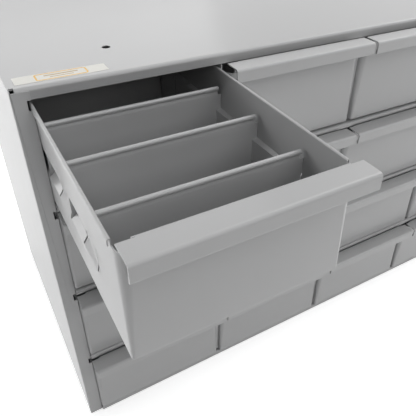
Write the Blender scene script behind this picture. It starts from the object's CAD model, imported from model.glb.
"""Parts bin cabinet: the looks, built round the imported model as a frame.

Laid out as an add-on and run as a script. All lengths are metres in the part's own frame:
origin under the middle of the front foot flange, front towards -Y, up along +Z.
"""

import math

import bmesh
import bpy
from mathutils import Matrix, Vector


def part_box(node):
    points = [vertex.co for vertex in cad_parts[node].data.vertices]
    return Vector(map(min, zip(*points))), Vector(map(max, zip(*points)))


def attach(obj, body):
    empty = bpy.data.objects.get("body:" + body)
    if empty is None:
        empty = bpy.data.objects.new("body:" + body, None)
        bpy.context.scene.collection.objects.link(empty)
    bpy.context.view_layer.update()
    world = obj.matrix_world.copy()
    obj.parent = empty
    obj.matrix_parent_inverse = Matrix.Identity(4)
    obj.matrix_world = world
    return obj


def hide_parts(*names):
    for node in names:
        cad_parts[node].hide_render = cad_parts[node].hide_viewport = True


bl_info = {
    "name": "Parts bin cabinet",
    "version": (1, 0, 0),
    "blender": (4, 5, 0),
    "location": "View3D > Sidebar > Cabinet",
    "description": "Builds the sheets, bins, handles, dividers and label of a parts bin cabinet",
    "category": "Object",
}

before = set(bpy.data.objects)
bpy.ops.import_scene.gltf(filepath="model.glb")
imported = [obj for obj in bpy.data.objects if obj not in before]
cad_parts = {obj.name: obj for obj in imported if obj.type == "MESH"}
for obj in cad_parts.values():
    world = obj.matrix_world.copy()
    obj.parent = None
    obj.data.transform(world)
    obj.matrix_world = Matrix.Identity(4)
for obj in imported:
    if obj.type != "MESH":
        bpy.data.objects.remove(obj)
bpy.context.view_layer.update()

# Rows and columns of bins, and the row and column of the open one
ROWS = COLUMNS = 4
OPEN = (1, 1)
# Nodes that keep their own shape, and the dividers that lift out of the open bin
CASE_NODES = (
    "top_panel", "left_side", "right_side", "back_panel", "bottom_panel",
    "shelf_upper", "shelf_middle", "shelf_lower", "partitions",
)
OPEN_DIVIDERS = ("divider_front", "divider_middle", "divider_rear")
# Faces that meet at more than this angle keep a crisp edge between them
CRISP = math.radians(32)
# Edges sharper than this are rounded, on pieces that take a rounding
ROUNDED = math.radians(40)
# Points closer than this are one point
SAME = 1e-6


def length(name, description, default):
    """A size property, in metres."""
    return bpy.props.FloatProperty(
        name=name, description=description, default=default, min=0, precision=5,
        unit="LENGTH", subtype="DISTANCE",
    )


def power(name, description, default):
    """A light's power, in watts."""
    return bpy.props.FloatProperty(name=name, description=description, default=default, min=0)


def colour(name, description, default):
    """A colour property, in linear light."""
    return bpy.props.FloatVectorProperty(
        name=name, description=description, default=default, size=3, min=0, max=1,
        subtype="COLOR",
    )


class CabinetBin(bpy.types.PropertyGroup):
    """Sizes of a bin."""
    width: length("Width", "Across the bin's side sheets", 0.200)
    depth: length("Depth", "From the bin's front to its back", 0.400)
    side_height: length("Side height", "Height of the bin's rims", 0.1125)
    front_height: length("Front height", "Height of the front sheet", 0.119)
    sheet: length("Sheet", "Thickness of the sheet", 0.001)
    floor_bend: length("Floor bend", "Outer radius where the walls meet the floor", 0.0015)
    corner_low: length("Lower corner", "Front corner radius at the floor", 0.0025)
    corner_top: length("Upper corner", "Front corner radius at the top", 0.010)
    rim_end: length("Rim end", "Where a rim ends behind the front", 0.013)
    hem_height: length("Hem height", "Height of the hem folded out at a rim", 0.006)
    hem_gap: length("Hem gap", "Space inside the hem", 0.0012)
    slot_end: length("First slot", "First slot from the front", 0.066)
    slot_width: length("Slot width", "Width of a slot", 0.0024)
    back_flange: length("Back flange", "Flanges of the back sheet", 0.008)
    weld_gap: length("Weld gap", "Gap between the back sheet and its neighbours", 0.00015)
    pocket_low: length("Pocket low", "Lower edge of the pockets", 0.036)
    pocket_height: length("Pocket height", "Height of the pockets", 0.032)
    pocket_depth: length("Pocket depth", "Depth at a pocket's rear", 0.0065)
    pocket_rise: length("Pocket rise", "Height of the sloping face of a pocket", 0.006)
    crest_drop: length("Crest drop", "Most that a pocket's upper face slopes down", 0.005)
    pocket_tip: length("Pocket tip", "Flat tip of a pocket before its first slot", 0.022)
    slots: bpy.props.IntProperty(name="Slots", description="Slots in a side", default=8, min=2)


class CabinetHandle(bpy.types.PropertyGroup):
    """Sizes of a handle."""
    width: length("Width", "Length of the handle across the bin", 0.202)
    sheet: length("Sheet", "Thickness of the sheet", 0.0012)
    reach: length("Reach", "Reach of the lip before the bin's front", 0.024)
    lip: length("Lip", "Height of the lip", 0.0154)
    bend: length("Bend", "Outer bend radius of the lip", 0.0035)
    tail: length("Tail", "Height of the flange on the bin's front", 0.013)
    tail_inset: length("Tail inset", "End of the flange from the bin's side", 0.012)
    fold: length("Fold", "Height of the fold inside the lip", 0.004)


class CabinetDivider(bpy.types.PropertyGroup):
    """Sizes of a divider."""
    width: length("Width", "Width of the plate", 0.197)
    sheet: length("Sheet", "Thickness of the plate", 0.001)
    low: length("Low edge", "Lower edge over the bin's underside", 0.0013)
    top: length("Top edge", "Upper edge over the bin's underside", 0.0955)
    roll: length("Roll", "Diameter of the rolled top edge", 0.005)
    short: length("Short of the side", "The roll ends this far from the plate's side", 0.004)


class CabinetFinish(bpy.types.PropertyGroup):
    """Colours and fine grain of the paint and the label."""
    case: colour("Case", "Paint of the case", (0.445, 0.447, 0.45))
    bins: colour("Bins", "Paint of the bins", (0.44, 0.442, 0.445))
    handles: colour("Handles", "Paint of the handles", (0.45, 0.452, 0.455))
    dividers: colour("Dividers", "Paint of the dividers", (0.43, 0.432, 0.435))
    paper: colour("Paper", "Paper of the label", (0.86, 0.85, 0.80))
    border: colour("Border", "Border printed on the label", (0.86, 0.55, 0.17))
    grain: length("Grain", "Size of the paint's fine grain", 0.0012)


class CabinetStage(bpy.types.PropertyGroup):
    """Where the camera stands and how strong the light is."""
    camera: bpy.props.FloatVectorProperty(
        name="Camera", description="Place of the camera", unit="LENGTH", subtype="XYZ",
        default=(-0.466379, -0.456804, 0.726773), precision=5)
    azimuth: bpy.props.FloatProperty(
        name="Azimuth", description="Camera's side of the front", default=math.radians(-32.35),
        unit="ROTATION", subtype="ANGLE")
    elevation: bpy.props.FloatProperty(
        name="Elevation", description="Camera's angle over the floor", default=math.radians(35.89),
        unit="ROTATION", subtype="ANGLE")
    roll: bpy.props.FloatProperty(
        name="Roll", description="Camera's tilt to one side", default=math.radians(2.40),
        unit="ROTATION", subtype="ANGLE")
    lens: bpy.props.FloatProperty(name="Lens", description="Focal length, mm", default=41.90)
    shift: bpy.props.FloatVectorProperty(
        name="Shift", description="Camera's shift", size=2, default=(-0.0653, -0.0429), precision=4)
    front: power("Front light", "Power of the light above the front", 28)
    rear: power("Rear light", "Power of the light above the rear", 17)
    right_above: power("Upper right light", "Power of the light above the right side", 44)
    left_rear: power("Left rear light", "Power of the light at the rear on the left", 33)
    right: power("Right light", "Power of the low light on the right", 13)
    right_front: power("Right front light", "Power of the light before the right side", 5)
    floor_lift: bpy.props.FloatProperty(
        name="Floor lift", description="Light that makes the floor look white", default=0.6)


# ---------------------------------------------------------------- sheet shapes

def rounded_path(corners, radii, steps):
    """Points along a path through 2D corners, its inner corners rounded in the same number of steps."""
    corners = [Vector(c) for c in corners]
    points = [corners[0]]
    for before, corner, after, radius in zip(corners, corners[1:], corners[2:], radii):
        back, on = (before - corner).normalized(), (after - corner).normalized()
        turn = math.pi - back.angle(on)
        reach = radius * math.tan(turn / 2)
        centre = corner + (back + on).normalized() * radius / math.cos(turn / 2)
        first, last = corner + back * reach - centre, corner + on * reach - centre
        for step in range(steps + 1):
            share = step / steps
            points.append(centre + (first * math.sin((1 - share) * turn)
                                    + last * math.sin(share * turn)) / math.sin(turn))
    points.append(corners[-1])
    return points


def sheet_mesh(name, outer, inner, is_sheet, ring=False):
    """Closed shell of a sheet between two grids of points, one row of points for each station.

    is_sheet(station, level) says whether the cell after that station and level is sheet or cut
    away. A ring's stations go round, and its first level is closed by a floor.
    """
    stations, levels = len(outer), len(outer[0])
    spans = stations if ring else stations - 1
    bm = bmesh.new()
    grids = [[[bm.verts.new(p) for p in row] for row in grid] for grid in (outer, inner)]

    def kept(station, level):
        if ring:
            station %= stations
        elif not 0 <= station < spans:
            return False
        return 0 <= level < levels - 1 and is_sheet(station, level)

    def rim(a, b):
        near, far = [[grid[s % stations][k] for s, k in (a, b)] for grid in grids]
        bm.faces.new([near[0], near[1], far[1], far[0]])

    for station in range(spans):
        after = (station + 1) % stations
        for level in range(levels - 1):
            if not kept(station, level):
                continue
            for grid in grids:
                bm.faces.new([grid[station][level], grid[after][level],
                              grid[after][level + 1], grid[station][level + 1]])
            if not kept(station, level + 1):
                rim((station, level + 1), (station + 1, level + 1))
            if not (kept(station, level - 1) or ring and level == 0):
                rim((station, level), (station + 1, level))
            if not kept(station - 1, level):
                rim((station, level), (station, level + 1))
            if not kept(station + 1, level):
                rim((station + 1, level), (station + 1, level + 1))
        if ring and not kept(station, 0):
            rim((station, 0), (station + 1, 0))
    if ring:
        for grid in grids:
            for near in range(stations // 2 - 1):
                far = stations - 1 - near
                bm.faces.new([grid[near][0], grid[near + 1][0], grid[far - 1][0], grid[far][0]])
    return closed_mesh(name, bm)


def closed_mesh(name, bm):
    """Merges doubles, turns all faces outward and makes a mesh."""
    bmesh.ops.remove_doubles(bm, verts=bm.verts, dist=SAME)
    bmesh.ops.dissolve_degenerate(bm, edges=bm.edges, dist=SAME)
    loose = [v for v in bm.verts if not v.link_faces]
    bmesh.ops.delete(bm, geom=loose, context="VERTS")
    bmesh.ops.recalc_face_normals(bm, faces=bm.faces)
    if bm.calc_volume(signed=True) < 0:
        bmesh.ops.reverse_faces(bm, faces=bm.faces)
    mesh = bpy.data.meshes.new(name)
    bm.to_mesh(mesh)
    bm.free()
    return mesh


def smoothed(mesh, rounding=0.0, tree=None, inputs=()):
    """The mesh with round edges and even shading, after a geometry node tree where one is given."""
    carrier = bpy.data.objects.new("carrier", mesh)
    bpy.context.scene.collection.objects.link(carrier)
    if tree:
        maker = carrier.modifiers.new("row", "NODES")
        maker.node_group = tree
        for item in tree.interface.items_tree:
            if item.in_out == "INPUT" and item.name in dict(inputs):
                maker[item.identifier] = dict(inputs)[item.name]
        mesh = plain_copy(carrier)
        carrier.modifiers.remove(maker)
        carrier.data = mesh
    mesh.polygons.foreach_set("use_smooth", [True] * len(mesh.polygons))
    if rounding:
        edge = carrier.modifiers.new("edge", "BEVEL")
        edge.width, edge.segments = rounding, 2
        edge.limit_method, edge.angle_limit = "ANGLE", ROUNDED
    else:
        mesh.set_sharp_from_angle(angle=CRISP)
    even = carrier.modifiers.new("even", "WEIGHTED_NORMAL")
    even.keep_sharp = True
    result = plain_copy(carrier)
    bpy.data.objects.remove(carrier)
    return result


def plain_copy(carrier):
    """A plain mesh of what an object's modifiers make."""
    seen = carrier.evaluated_get(bpy.context.evaluated_depsgraph_get())
    return bpy.data.meshes.new_from_object(seen)


def place(name, mesh, finish, body, nodes, at=(0, 0, 0)):
    """Puts a copy of a mesh at a place as a piece that rides on a body and stands for nodes."""
    own = mesh.copy()
    own.name = name
    own.transform(Matrix.Translation(at))
    own.materials.clear()
    own.materials.append(finish)
    piece = bpy.data.objects.new(name, own)
    bpy.context.scene.collection.objects.link(piece)
    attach(piece, body)
    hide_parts(*nodes)
    return piece


def places():
    """Row, column, and the lower front middle of each bin."""
    for row in range(1, ROWS + 1):
        for column in range(1, COLUMNS + 1):
            low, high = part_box(f"bin_{row}_{column}")
            yield row, column, Vector(((low.x + high.x) / 2, low.y, low.z))


def bin_mesh(size):
    """One bin but for its back: walls with tapered front corners, hemmed rims, pockets and slots."""
    wall, sheet = size.width / 2, size.sheet
    corner_height = size.side_height - size.hem_height
    pitch = (size.depth - 2 * size.slot_end) / (size.slots - 1)
    pocket_top = size.pocket_low + size.pocket_height
    arc_steps, bend_steps, hem_steps, slot_steps = 6, 3, 8, 4
    hem_middle = size.hem_gap / 2 + sheet
    # Share of the crest's drop that a pocket has lost at its full depth
    crest_ease = 0.8

    def slot_y(slot):
        return size.slot_end + slot * pitch

    def depth(slot, y):
        """How deep the pocket before a slot, or at it, is pressed in at a place."""
        tip, rear = slot_y(slot) - size.pocket_tip, slot_y(slot + 2) - size.slot_width / 2
        return size.pocket_depth * (y - tip) / (rear - tip)

    # Each station of the right half: how it goes round the plan, and its depth in a pocket
    stations = [("corner", step / arc_steps, 0.0) for step in range(arc_steps + 1)]
    stations += [("side", size.rim_end, 0.0), ("side", size.slot_end - size.pocket_tip, 0.0)]
    gaps = set()
    for slot in range(size.slots + 1):
        first = max(0, slot - 1) // 2 * 2
        for edge in (-1, 1):
            y = slot_y(slot) + edge * size.slot_width / 2
            pocket = first if edge < 0 else slot // 2 * 2
            pressed = depth(pocket, y) if slot + edge < size.slots + 1 else 0.0
            if edge > 0:
                gaps.add(len(stations) - 1)
            stations.append(("side", y, pressed))
            if edge > 0 and slot < size.slots:
                for step in range(1, slot_steps):
                    along = y + step * (pitch - size.slot_width) / slot_steps
                    stations.append(("side", along, depth(pocket, along)))
    stations.append(("side", size.depth, 0.0))
    half = len(stations)
    first_side = arc_steps + 1

    def plan(station, inset, z):
        """A point of the right half at a height, inset from the outer face."""
        kind, along, _ = station
        if kind == "side":
            return wall - inset, along
        radius = size.corner_low + (size.corner_top - size.corner_low) * min(1, z / corner_height)
        turn = (along - 1) * math.pi / 2
        reach = radius - inset
        return wall - radius + reach * math.cos(turn), radius + reach * math.sin(turn)

    def column(station, inner):
        """All levels of a station on the outer or the inner face."""
        kind, _, pressed_in = station
        skin = sheet if inner else 0.0
        points = []
        for step in range(bend_steps + 1):
            turn = step / bend_steps * math.pi / 2
            reach = size.floor_bend - skin
            inset = size.floor_bend - reach * math.sin(turn)
            z = size.floor_bend - reach * math.cos(turn)
            points.append((*plan(station, inset, z), z))
        ledge = pocket_top if inner else pocket_top - sheet
        # The upper face slopes down to the crest, gently where the pocket is shallow
        crest = ledge - size.crest_drop * (1 - crest_ease * pressed_in / size.pocket_depth)
        for z, pressed in ((size.pocket_low, 0), (size.pocket_low + size.pocket_rise, pressed_in),
                           (crest, pressed_in), (ledge, 0), (corner_height, 0)):
            points.append((*plan(station, skin + pressed, z), z))
        if kind == "side":
            reach = hem_middle if inner else hem_middle - sheet
            middle_x, middle_z = wall - sheet + hem_middle, size.side_height - hem_middle
            for step in range(hem_steps + 1):
                turn = math.pi * (1 - step / hem_steps)
                points.append((middle_x + reach * math.cos(turn), station[1],
                               middle_z + reach * math.sin(turn)))
            points.append((middle_x + reach, station[1], corner_height))
        else:
            high = size.front_height
            points += [(*plan(station, skin, high), high)] * (hem_steps + 2)
        return points

    grids = []
    for inner in (False, True):
        right = [column(station, inner) for station in stations]
        left = [[(-x, y, z) for x, y, z in points] for points in reversed(right)]
        grids.append(right + left)
    # The levels where a slot cuts through a pocket, and the first level of the hem
    pocket_levels, upper = range(bend_steps + 1, bend_steps + 4), bend_steps + 5

    def is_sheet(station, level):
        mirrored = station if station < half else 2 * half - 2 - station
        front_cell = station == 2 * half - 1
        rear_cell = station == half - 1
        if rear_cell or mirrored in gaps and not front_cell and level in pocket_levels:
            return False
        return level < upper or front_cell and level == upper or not front_cell and mirrored >= first_side

    return sheet_mesh("bin", grids[0], grids[1], is_sheet, ring=True)


def back_mesh(size):
    """A bin's back: a plate set in between the sides, its four flanges turned to the rear."""
    inset_all = size.sheet + size.weld_gap
    half, low, high = size.width / 2 - inset_all, inset_all, size.side_height
    radius, corner_steps, bend_steps = 2 * size.floor_bend, 4, 3

    def ring(inset, y):
        """The plate's outline at a place, right half upwards and left half downwards."""
        right = []
        for middle, start in ((low + radius, -math.pi / 2), (high - radius, 0)):
            for step in range(corner_steps + 1):
                turn = start + math.pi / 2 * step / corner_steps
                reach = radius - inset
                right.append((half - radius + reach * math.cos(turn), y, middle + reach * math.sin(turn)))
        return right + [(-x, y, z) for x, y, z in reversed(right)]

    grids = []
    for skin in (0.0, size.sheet):
        rings = []
        for step in range(bend_steps + 1):
            turn = step / bend_steps * math.pi / 2
            reach = size.floor_bend - skin
            rings.append(ring(size.floor_bend - reach * math.sin(turn),
                              size.depth - size.back_flange + size.floor_bend - reach * math.cos(turn)))
        rings.append(ring(skin, size.depth))
        grids.append(list(zip(*rings)))
    return sheet_mesh("back", grids[0], grids[1], lambda station, level: True, ring=True)


def handle_mesh(size, bin_size):
    """One handle: flange on the front, flat top, and a lip with its edge folded inside."""
    top, t = bin_size.front_height + size.sheet, size.sheet
    # Inner radii at the rear of the top and in the fold, and the steps in each bend
    rear_bend, slack, bend_steps = 0.0006, 0.00015, 5
    lip_low = top - size.lip

    def path(skin, radii, fold):
        """The outer or inner face, from the flange to the fold inside the lip."""
        upper, lower, front = top - skin, lip_low + skin, -size.reach + skin
        return rounded_path(
            [(-skin, top - t - size.tail), (-skin, upper), (front, upper), (front, lower),
             (front + fold, lower), (front + fold, lip_low + t + size.fold)], radii, bend_steps)

    outer = path(0.0, [rear_bend + t, size.bend, t + slack, t + slack], 2 * (t + slack))
    inner = path(t, [rear_bend, size.bend - t, slack, slack], 2 * slack)
    half, tail_half = size.width / 2, bin_size.width / 2 - size.tail_inset
    across = (-half, -tail_half, tail_half, half)

    def is_sheet(station, level):
        return station == 1 or level > bend_steps

    grids = [[[(x, p[0], p[1]) for p in path] for x in across] for path in (outer, inner)]
    return sheet_mesh("handle", grids[0], grids[1], is_sheet)


def divider_mesh(size):
    """One divider: a plate whose top edge is rolled over."""
    t, radius = size.sheet, size.roll / 2 - size.sheet / 2
    middle = size.top - size.roll / 2
    # Where the plate leans over below its roll: out in radii, and down in rolls from the middle
    neck = ((0, 2.4), (0, 1.5), (0.35, 1.1), (0.9, 0.5))
    line = [Vector((0, size.low))]
    line += [Vector((out * radius, middle - down * size.roll)) for out, down in neck]
    straight = 2
    wrap, steps = math.radians(300), 18
    for step in range(steps + 1):
        turn = wrap * step / steps
        line.append(Vector((radius * math.cos(turn), middle + radius * math.sin(turn))))
    faces = ([], [])
    for index, point in enumerate(line):
        ahead = line[min(index + 1, len(line) - 1)] - line[max(index - 1, 0)]
        normal = Vector((ahead.y, -ahead.x)).normalized()
        for face, side in zip(faces, (0.5, -0.5)):
            face.append(point + normal * side * t)
    half = size.width / 2
    across = (-half, -half + size.short, half - size.short, half)
    grids = [[[(x, p.x, p.y) for p in path] for x in across] for path in faces]
    return sheet_mesh("divider", grids[0], grids[1],
                      lambda station, level: station == 1 or level < straight)


def case_mesh(node):
    """A node's own shape with doubles merged and flat faces joined, its edges rounded."""
    flat, edge_radius = math.radians(0.3), 0.00025
    bm = bmesh.new()
    bm.from_mesh(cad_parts[node].data)
    bmesh.ops.remove_doubles(bm, verts=bm.verts, dist=SAME)
    bmesh.ops.dissolve_limit(bm, angle_limit=flat, verts=bm.verts, edges=bm.edges)
    if node in ("left_side", "right_side"):
        round_fold(bm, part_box(node))
    mesh = bpy.data.meshes.new(node)
    bm.to_mesh(mesh)
    bm.free()
    return smoothed(mesh, rounding=edge_radius)


def round_fold(bm, corners):
    """Rounds the upright edge where a side sheet turns into its front stile."""
    low, high = corners
    fold_radius, steps = 0.0018, 5
    outer_x = low.x if low.x < 0 else high.x
    folded = [e for e in bm.edges
              if all(abs(v.co.x - outer_x) < SAME and abs(v.co.y - low.y) < SAME for v in e.verts)]
    bmesh.ops.bevel(bm, geom=folded, offset=fold_radius, segments=steps, profile=0.5, affect="EDGES")


def row_tree():
    """Copies of one piece in a straight row, made real and painted."""
    tree = bpy.data.node_groups.new("piece_row", "GeometryNodeTree")
    for name, kind in (("Piece", "Object"), ("Count", "Int"), ("First", "Vector"),
                       ("Step", "Vector"), ("Material", "Material")):
        tree.interface.new_socket(name, in_out="INPUT", socket_type="NodeSocket" + kind)
    tree.interface.new_socket("Row", in_out="OUTPUT", socket_type="NodeSocketGeometry")
    add = tree.nodes.new
    given, line, piece = add("NodeGroupInput"), add("GeometryNodeMeshLine"), add("GeometryNodeObjectInfo")
    copies, real = add("GeometryNodeInstanceOnPoints"), add("GeometryNodeRealizeInstances")
    paint, done = add("GeometryNodeSetMaterial"), add("NodeGroupOutput")
    line.mode = "OFFSET"
    for source, socket, target, entry in (
            (given, "Piece", piece, "Object"), (given, "Count", line, "Count"),
            (given, "First", line, "Start Location"), (given, "Step", line, "Offset"),
            (line, "Mesh", copies, "Points"), (piece, "Geometry", copies, "Instance"),
            (copies, "Instances", real, "Geometry"), (real, "Geometry", paint, "Geometry"),
            (given, "Material", paint, "Material"), (paint, "Geometry", done, "Row")):
        tree.links.new(source.outputs[socket], target.inputs[entry])
    return tree


# ---------------------------------------------------------------- finishes

class Value:
    """A socket of a material; arithmetic on it adds Math nodes."""

    def __init__(self, finish, socket):
        self.finish, self.socket = finish, socket

    def math(self, operation, *others):
        return self.finish.math(operation, self, *others)

    def __add__(self, other):
        return self.math("ADD", other)

    __radd__ = __add__

    def __sub__(self, other):
        return self.math("SUBTRACT", other)

    def __rsub__(self, other):
        return self.finish.math("SUBTRACT", other, self)

    def __mul__(self, other):
        return self.math("MULTIPLY", other)

    __rmul__ = __mul__

    def __truediv__(self, other):
        return self.math("DIVIDE", other)

    def __abs__(self):
        return self.math("ABSOLUTE")

    def __lt__(self, other):
        return self.math("LESS_THAN", other)


class Finish:
    """A material under construction."""

    def __init__(self, name):
        self.material = bpy.data.materials.new(name)
        self.material.use_nodes = True
        self.tree = self.material.node_tree
        self.tree.nodes.clear()

    def node(self, kind, settings, inputs):
        """A node with its settings, and values or links for its sockets."""
        made = self.tree.nodes.new(kind)
        for key, value in settings.items():
            setattr(made, key, value)
        for key, value in inputs.items():
            if isinstance(value, Value):
                self.tree.links.new(value.socket, made.inputs[key])
            else:
                made.inputs[key].default_value = value
        return made

    def value(self, kind, output, settings, inputs):
        """One output of a new node."""
        return Value(self, self.node(kind, settings, inputs).outputs[output])

    def math(self, operation, *values):
        return self.value("ShaderNodeMath", 0, {"operation": operation}, dict(enumerate(values)))

    def place(self):
        """Where a point is in the part's frame."""
        return self.value("ShaderNodeTexCoord", "Object", {}, {})

    def noise(self, size, detail):
        """Soft irregular spots of a size in metres, from 0 to 1."""
        return self.value("ShaderNodeTexNoise", 0, {},
                          {"Vector": self.place(), "Scale": 1 / size, "Detail": detail})

    def grey(self, shade):
        """A grey of a lightness."""
        return self.value("ShaderNodeCombineColor", 0, {}, {0: shade, 1: shade, 2: shade})

    def mix(self, share, first, second, blend="MIX"):
        return self.value("ShaderNodeMix", 2, {"data_type": "RGBA", "blend_type": blend},
                          {0: share, 6: first, 7: second})

    def bump(self, height, distance, strength, below=None):
        inputs = {"Height": height, "Distance": distance, "Strength": strength}
        if below:
            inputs["Normal"] = below
        return self.value("ShaderNodeBump", 0, {}, inputs)

    def surface(self, **inputs):
        """Ends the material in a Principled shader."""
        sockets = {name.replace("_", " "): value for name, value in inputs.items()}
        return self.done(self.value("ShaderNodeBsdfPrincipled", 0, {}, sockets))

    def done(self, shader):
        self.node("ShaderNodeOutputMaterial", {}, {"Surface": shader})
        return self.material


def opaque(tone):
    return (*tone, 1.0)


def enamel(name, tone, grain):
    """Baked satin enamel on sheet: fine grain, faint mottling, a slightly uneven sheet below."""
    # Sizes of the mottling, of clouds in the shade and of waves in the sheet
    mottle_size, cloud_size, wave_size = 0.045, 0.22, 0.16
    # Heights and strengths of the waves and of the grain
    wave_height, wave_share, grain_height, grain_share = 0.0009, 0.5, 0.00005, 0.55
    # Roughness of the paint at its smoothest and of the thin gloss on it, and the gloss's share
    roughness, gloss_roughness, gloss = 0.33, 0.16, 0.45
    finish = Finish(name)
    mottle = finish.noise(mottle_size, 3.0)
    cloud = finish.noise(cloud_size, 1.0)
    peel = finish.noise(grain, 1.5)
    specks = finish.math("POWER", finish.noise(grain / 3, 0.0), 6.0)
    shade = 0.965 + 0.05 * mottle + 0.02 * cloud - 0.05 * specks
    painted = finish.mix(1.0, opaque(tone), finish.grey(shade), "MULTIPLY")
    waves = finish.bump(finish.noise(wave_size, 0.0), wave_height, wave_share)
    grainy = finish.bump(peel, grain_height, grain_share, waves)
    return finish.surface(Base_Color=painted, Roughness=roughness + 0.12 * mottle + 0.05 * peel,
                          Normal=grainy, Coat_Weight=gloss, Coat_Roughness=gloss_roughness)


def label_paper(name, paper, border, middle):
    """Printed paper: a rounded frame line and two plain bars."""
    # Half width, half height, corner radius and shift of the frame line and of the bars
    framed, upper_bar = (0.0245, 0.0070, 0.0022, 0), (0.0165, 0.0013, 0.0004, 0.0021)
    lower_bar, half_line = (0.0115, 0.0008, 0.0004, -0.0025), 0.0009
    fibre_size, fibre_height, fibre_share = 0.0007, 0.00003, 0.4
    # Strength of the bars' print, and their tone against the frame line's
    print_share, print_tone = 0.75, 0.55
    finish = Finish(name)
    at = finish.node("ShaderNodeSeparateXYZ", {}, {0: finish.place()})
    x = Value(finish, at.outputs[0]) - middle.x
    y = Value(finish, at.outputs[1]) - middle.y

    def outside(half_x, half_y, radius, shift):
        """Distance outside a rounded rectangle, in metres; below zero inside."""
        over_x = finish.math("MAXIMUM", abs(x) - (half_x - radius), 0.0)
        over_y = finish.math("MAXIMUM", abs(y - shift) - (half_y - radius), 0.0)
        return finish.math("SQRT", over_x * over_x + over_y * over_y) - radius

    frame_line = abs(outside(*framed)) < half_line
    bars = finish.math("MAXIMUM", outside(*upper_bar) < 0.0, outside(*lower_bar) < 0.0)
    fibre = finish.noise(fibre_size, 3.0)
    sheet = finish.mix(1.0, opaque(paper), finish.grey(0.96 + 0.05 * fibre), "MULTIPLY")
    lined = finish.mix(frame_line, sheet, opaque(border))
    printed = finish.mix(print_share * bars, lined, opaque([print_tone * tone for tone in border]))
    return finish.surface(Base_Color=printed, Roughness=0.42 + 0.2 * fibre,
                          Normal=finish.bump(fibre, fibre_height, fibre_share))


def floor_finish(name, strength):
    """Plain pale floor with the cabinet's shadow; the camera sees it lifted to white, most far away."""
    # Tone of the floor, and the distances between which its lift grows to full
    tone, near, far = 0.86, 1.3, 3.0
    finish = Finish(name)
    at = finish.node("ShaderNodeSeparateXYZ", {}, {0: finish.place()})
    x, y = Value(finish, at.outputs[0]), Value(finish, at.outputs[1])
    away = finish.math("SQRT", x * x + y * y)
    share = finish.math("MINIMUM", finish.math("MAXIMUM", (away - near) / (far - near), 0.0), 1.0)
    seen = finish.node("ShaderNodeLightPath", {}, {})
    direct = finish.math("MAXIMUM", Value(finish, seen.outputs["Is Camera Ray"]),
                         Value(finish, seen.outputs["Is Glossy Ray"]))
    matt = finish.value("ShaderNodeBsdfDiffuse", 0, {}, {"Color": opaque([tone] * 3)})
    glow = finish.value("ShaderNodeEmission", 0, {}, {"Strength": 1.0})
    lifted = direct * (share * (1 - strength) + strength)
    lift = finish.value("ShaderNodeMixShader", 0, {}, {0: lifted, 2: glow})
    return finish.done(finish.value("ShaderNodeAddShader", 0, {}, {0: matt, 1: lift}))


def finish_for(key):
    """The enamel of a group of pieces, made once."""
    name = key + "_enamel"
    made = bpy.data.materials.get(name)
    if made is None:
        chosen = bpy.context.scene.cabinet_finish
        made = enamel(name, getattr(chosen, key), chosen.grain)
    return made


# ---------------------------------------------------------------- operators

class CABINET_OT_case(bpy.types.Operator):
    """Paint the case's sheets and round their edges"""
    bl_idname = "cabinet.case"
    bl_label = "Case"

    def execute(self, context):
        for node in CASE_NODES:
            place(node + "_sheet", case_mesh(node), finish_for("case"), "case", [node])
        return {"FINISHED"}


class CABINET_OT_bins(bpy.types.Operator):
    """Build the sixteen bins"""
    bl_idname = "cabinet.bins"
    bl_label = "Bins"

    def execute(self, context):
        tub = smoothed(bin_mesh(context.scene.cabinet_bin))
        back = smoothed(back_mesh(context.scene.cabinet_bin))
        for row, column, corner in places():
            spot = f"{row}_{column}"
            for part, mesh in (("sheet", tub), ("back", back)):
                place(f"bin_{spot}_{part}", mesh, finish_for("bins"),
                      f"drawer_{spot}", [f"bin_{spot}"], corner)
        return {"FINISHED"}


class CABINET_OT_handles(bpy.types.Operator):
    """Build the folded handles"""
    bl_idname = "cabinet.handles"
    bl_label = "Handles"

    def execute(self, context):
        scene = context.scene
        mesh = smoothed(handle_mesh(scene.cabinet_handle, scene.cabinet_bin))
        for row, column, corner in places():
            spot = f"{row}_{column}"
            place(f"handle_{spot}_sheet", mesh, finish_for("handles"),
                  f"drawer_{spot}", [f"handle_{spot}"], corner)
        return {"FINISHED"}


class CABINET_OT_dividers(bpy.types.Operator):
    """Build the dividers of the open bin and of the closed ones"""
    bl_idname = "cabinet.dividers"
    bl_label = "Dividers"

    def execute(self, context):
        scene = context.scene
        size, bin_size = scene.cabinet_divider, scene.cabinet_bin
        pitch = 2 * (bin_size.depth - 2 * bin_size.slot_end) / (bin_size.slots - 1)
        plain = divider_mesh(size)
        pattern = bpy.data.objects.new("divider_pattern", plain)
        scene.collection.objects.link(pattern)
        row_mesh = smoothed(bpy.data.meshes.new("row"), tree=row_tree(), inputs={
            "Piece": pattern, "Count": len(OPEN_DIVIDERS), "First": (0, bin_size.slot_end, 0),
            "Step": (0, pitch, 0), "Material": finish_for("dividers")}.items())
        bpy.data.objects.remove(pattern)
        single = smoothed(plain)
        for row, column, corner in places():
            spot = f"{row}_{column}"
            if (row, column) == OPEN:
                for index, node in enumerate(OPEN_DIVIDERS):
                    at = corner + Vector((0, bin_size.slot_end + index * pitch, 0))
                    place(node + "_plate", single, finish_for("dividers"),
                          node, [node], at)
            else:
                place(f"dividers_{spot}_plates", row_mesh, finish_for("dividers"),
                      f"drawer_{spot}", [f"dividers_{spot}"], corner)
        return {"FINISHED"}


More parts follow.
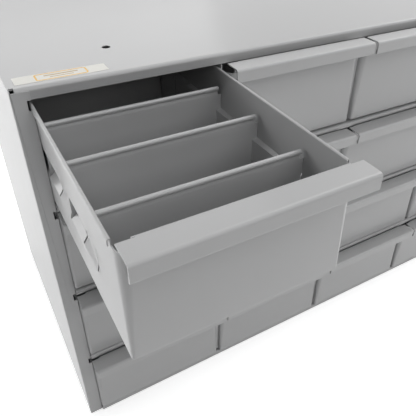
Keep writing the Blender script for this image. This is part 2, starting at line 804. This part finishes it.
class CABINET_OT_label(bpy.types.Operator):
    """Lay the label on the top"""
    bl_idname = "cabinet.label"
    bl_label = "Label"

    def execute(self, context):
        low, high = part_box("label")
        radius, steps = 0.0012, 5
        outline = []
        for index, (x, y) in enumerate(((high.x, high.y), (low.x, high.y), (low.x, low.y), (high.x, low.y))):
            middle = Vector((x - math.copysign(radius, x - (low.x + high.x) / 2),
                             y - math.copysign(radius, y - (low.y + high.y) / 2)))
            for step in range(steps + 1):
                turn = math.pi / 2 * (index + step / steps)
                outline.append(middle + radius * Vector((math.cos(turn), math.sin(turn))))
        bm = bmesh.new()
        base = bm.faces.new([bm.verts.new((p.x, p.y, low.z)) for p in outline])
        raised = bmesh.ops.extrude_face_region(bm, geom=[base])
        tops = [v for v in raised["geom"] if isinstance(v, bmesh.types.BMVert)]
        bmesh.ops.translate(bm, verts=tops, vec=(0, 0, high.z - low.z))
        mesh = smoothed(closed_mesh("label", bm))
        chosen = context.scene.cabinet_finish
        paper = label_paper("printed_paper", chosen.paper, chosen.border, (low + high) / 2)
        place("label_paper", mesh, paper, "case", ["label"])
        return {"FINISHED"}


class CABINET_OT_stage(bpy.types.Operator):
    """Set the camera, the lights and the floor"""
    bl_idname = "cabinet.stage"
    bl_label = "Stage"

    def execute(self, context):
        chosen = context.scene.cabinet_stage
        context.scene.view_settings.view_transform = "Standard"
        self.camera(context, chosen)
        # Each light's size, its place and the point that it is aimed at
        for name, size, at, towards in (
                ("front", (3.0, 2.0), (0, -1.9, 2.2), (0, 0, 0.3)),
                ("rear", (3.0, 2.0), (0, 2.6, 2.2), (0, 0.2, 0.3)),
                ("right_above", (2.0, 3.0), (1.4, 0.2, 2.6), (0.1, 0.1, 0.2)),
                ("left_rear", (2.4, 1.6), (-2.3, 1.3, 0.9), (-0.4, 0.2, 0.3)),
                ("right", (3.0, 0.9), (2.6, -0.2, 0.5), (0, 0, 0.3)),
                ("right_front", (2.0, 2.0), (2.0, -2.2, 1.5), (0, 0, 0.3))):
            self.light(context, name, getattr(chosen, name), size, at, towards)
        self.surroundings(context)
        self.floor(context, chosen)
        return {"FINISHED"}

    def floor(self, context, chosen):
        half_width = 8.0
        bm = bmesh.new()
        bmesh.ops.create_grid(bm, x_segments=1, y_segments=1, size=half_width)
        mesh = bpy.data.meshes.new("floor")
        bm.to_mesh(mesh)
        bm.free()
        mesh.materials.append(floor_finish("plain_floor", chosen.floor_lift))
        floor = bpy.data.objects.new("floor", mesh)
        context.scene.collection.objects.link(floor)

    def camera(self, context, chosen):
        side, up_angle = chosen.azimuth, chosen.elevation
        back = Vector((math.sin(side) * math.cos(up_angle), -math.cos(side) * math.cos(up_angle),
                       math.sin(up_angle)))
        level = Vector((math.cos(side), math.sin(side), 0))
        upright = back.cross(level)
        right = level * math.cos(chosen.roll) + upright * math.sin(chosen.roll)
        up = back.cross(right)
        sensor, nearest = 36.0, 0.01
        lens = bpy.data.cameras.new("camera")
        lens.sensor_width, lens.lens, lens.clip_start = sensor, chosen.lens, nearest
        lens.shift_x, lens.shift_y = chosen.shift
        camera = bpy.data.objects.new("camera", lens)
        turned = Matrix((right, up, back)).transposed().to_4x4()
        camera.matrix_world = Matrix.Translation(chosen.camera) @ turned
        context.scene.collection.objects.link(camera)
        context.scene.camera = camera

    def light(self, context, name, strength, size, at, towards):
        lamp = bpy.data.lights.new(name, "AREA")
        lamp.shape, lamp.energy = "RECTANGLE", strength
        lamp.size, lamp.size_y = size
        holder = bpy.data.objects.new(name, lamp)
        holder.location = at
        holder.rotation_euler = (Vector(towards) - Vector(at)).to_track_quat("-Z", "Y").to_euler()
        context.scene.collection.objects.link(holder)

    def surroundings(self, context):
        """White beyond the floor, for the camera and in reflections; it casts no light."""
        world = bpy.data.worlds.new("studio")
        context.scene.world = world
        world.use_nodes = True
        tree = world.node_tree
        tree.nodes.clear()
        rays = tree.nodes.new("ShaderNodeLightPath")
        shown = rays.outputs["Is Camera Ray"]
        for kind in ("Is Glossy Ray", "Is Transmission Ray"):
            either = tree.nodes.new("ShaderNodeMath")
            either.operation = "MAXIMUM"
            tree.links.new(shown, either.inputs[0])
            tree.links.new(rays.outputs[kind], either.inputs[1])
            shown = either.outputs[0]
        white, out = tree.nodes.new("ShaderNodeBackground"), tree.nodes.new("ShaderNodeOutputWorld")
        white.inputs["Color"].default_value = (1, 1, 1, 1)
        tree.links.new(shown, white.inputs["Strength"])
        tree.links.new(white.outputs[0], out.inputs[0])


class CABINET_PT_panel(bpy.types.Panel):
    """Lists what builds the cabinet"""
    bl_label = "Parts bin cabinet"
    bl_space_type = "VIEW_3D"
    bl_region_type = "UI"
    bl_category = "Cabinet"

    def draw(self, context):
        for operator in OPERATORS:
            self.layout.operator(operator.bl_idname)
        for name in GROUPS:
            group = getattr(context.scene, name)
            box = self.layout.box()
            for key in group.bl_rna.properties.keys():
                if key not in ("rna_type", "name"):
                    box.prop(group, key)


OPERATORS = (CABINET_OT_case, CABINET_OT_bins, CABINET_OT_handles, CABINET_OT_dividers,
             CABINET_OT_label, CABINET_OT_stage)
GROUPS = {"cabinet_bin": CabinetBin, "cabinet_handle": CabinetHandle,
          "cabinet_divider": CabinetDivider, "cabinet_finish": CabinetFinish,
          "cabinet_stage": CabinetStage}


def register():
    for kind in (*GROUPS.values(), *OPERATORS, CABINET_PT_panel):
        bpy.utils.register_class(kind)
    for name, kind in GROUPS.items():
        setattr(bpy.types.Scene, name, bpy.props.PointerProperty(type=kind))


def unregister():
    for name in GROUPS:
        delattr(bpy.types.Scene, name)
    for kind in (CABINET_PT_panel, *OPERATORS, *GROUPS.values()):
        bpy.utils.unregister_class(kind)


def main():
    register()
    for operator in OPERATORS:
        group, call = operator.bl_idname.split(".")
        getattr(getattr(bpy.ops, group), call)()


if __name__ == "__main__":
    main()
